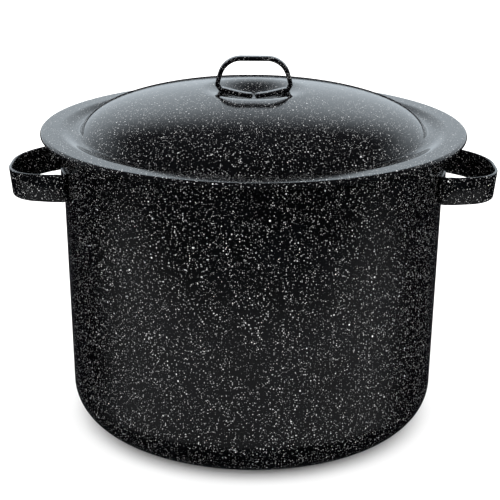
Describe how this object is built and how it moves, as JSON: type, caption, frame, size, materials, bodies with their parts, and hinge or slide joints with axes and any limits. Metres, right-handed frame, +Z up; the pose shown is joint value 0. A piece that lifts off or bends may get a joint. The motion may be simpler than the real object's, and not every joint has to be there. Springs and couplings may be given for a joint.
{
  "type": "water bath canner",
  "caption": "Tall covered enamelled canning pot with a domed lid, strap handles and a lift-out wire jar rack.",
  "frame": {"origin": "centre of the pot's base, on the surface that it stands on", "axes": "+Z up along the pot's axis, +X through the side handles"},
  "size_m": [0.423, 0.366, 0.3215],
  "materials": {
    "speckled_enamel": "gloss black porcelain enamel with fine white specks, fired on steel",
    "rack_wire": "bright chrome-plated steel wire"
  },
  "bodies": {
    "pot": {"pot_shell": "speckled_enamel", "side_handle_right": "speckled_enamel", "side_handle_left": "speckled_enamel"},
    "lid": {"lid_shell": "speckled_enamel", "lid_handle": "speckled_enamel"},
    "rack": {"rack_rim_ring": "rack_wire", "rack_centre_ring": "rack_wire", "rack_foot_ring": "rack_wire", "rack_floor_ring_inner": "rack_wire", "rack_floor_ring_outer": "rack_wire", "rack_cross_bar_front": "rack_wire", "rack_cross_bar_back": "rack_wire", "rack_divider_1": "rack_wire", "rack_divider_2": "rack_wire", "rack_divider_3": "rack_wire", "rack_divider_4": "rack_wire", "rack_divider_5": "rack_wire", "rack_divider_6": "rack_wire"},
    "rack_handle_right": {"rack_handle_right": "rack_wire"},
    "rack_handle_left": {"rack_handle_left": "rack_wire"}
  },
  "joints": [
    {"name": "lid_lift", "type": "slide", "parent": "pot", "child": "lid", "axis": [0, 0, 1], "range_m": [0, 0.53]},
    {"name": "rack_lift", "type": "slide", "parent": "pot", "child": "rack", "axis": [0, 0, 1], "range_m": [0, 0.265]},
    {"name": "rack_handle_right_fold", "type": "hinge", "parent": "rack", "child": "rack_handle_right", "pos_m": [0.13994, 0, 0.0892], "axis": [0, 1, 0], "range_deg": [0, 90]},
    {"name": "rack_handle_left_fold", "type": "hinge", "parent": "rack", "child": "rack_handle_left", "pos_m": [-0.13994, 0, 0.0892], "axis": [0, -1, 0], "range_deg": [0, 90]}
  ],
  "couplings": [
    {"joint": "rack_lift", "follows": "lid_lift", "ratio": 0.5}
  ]
}
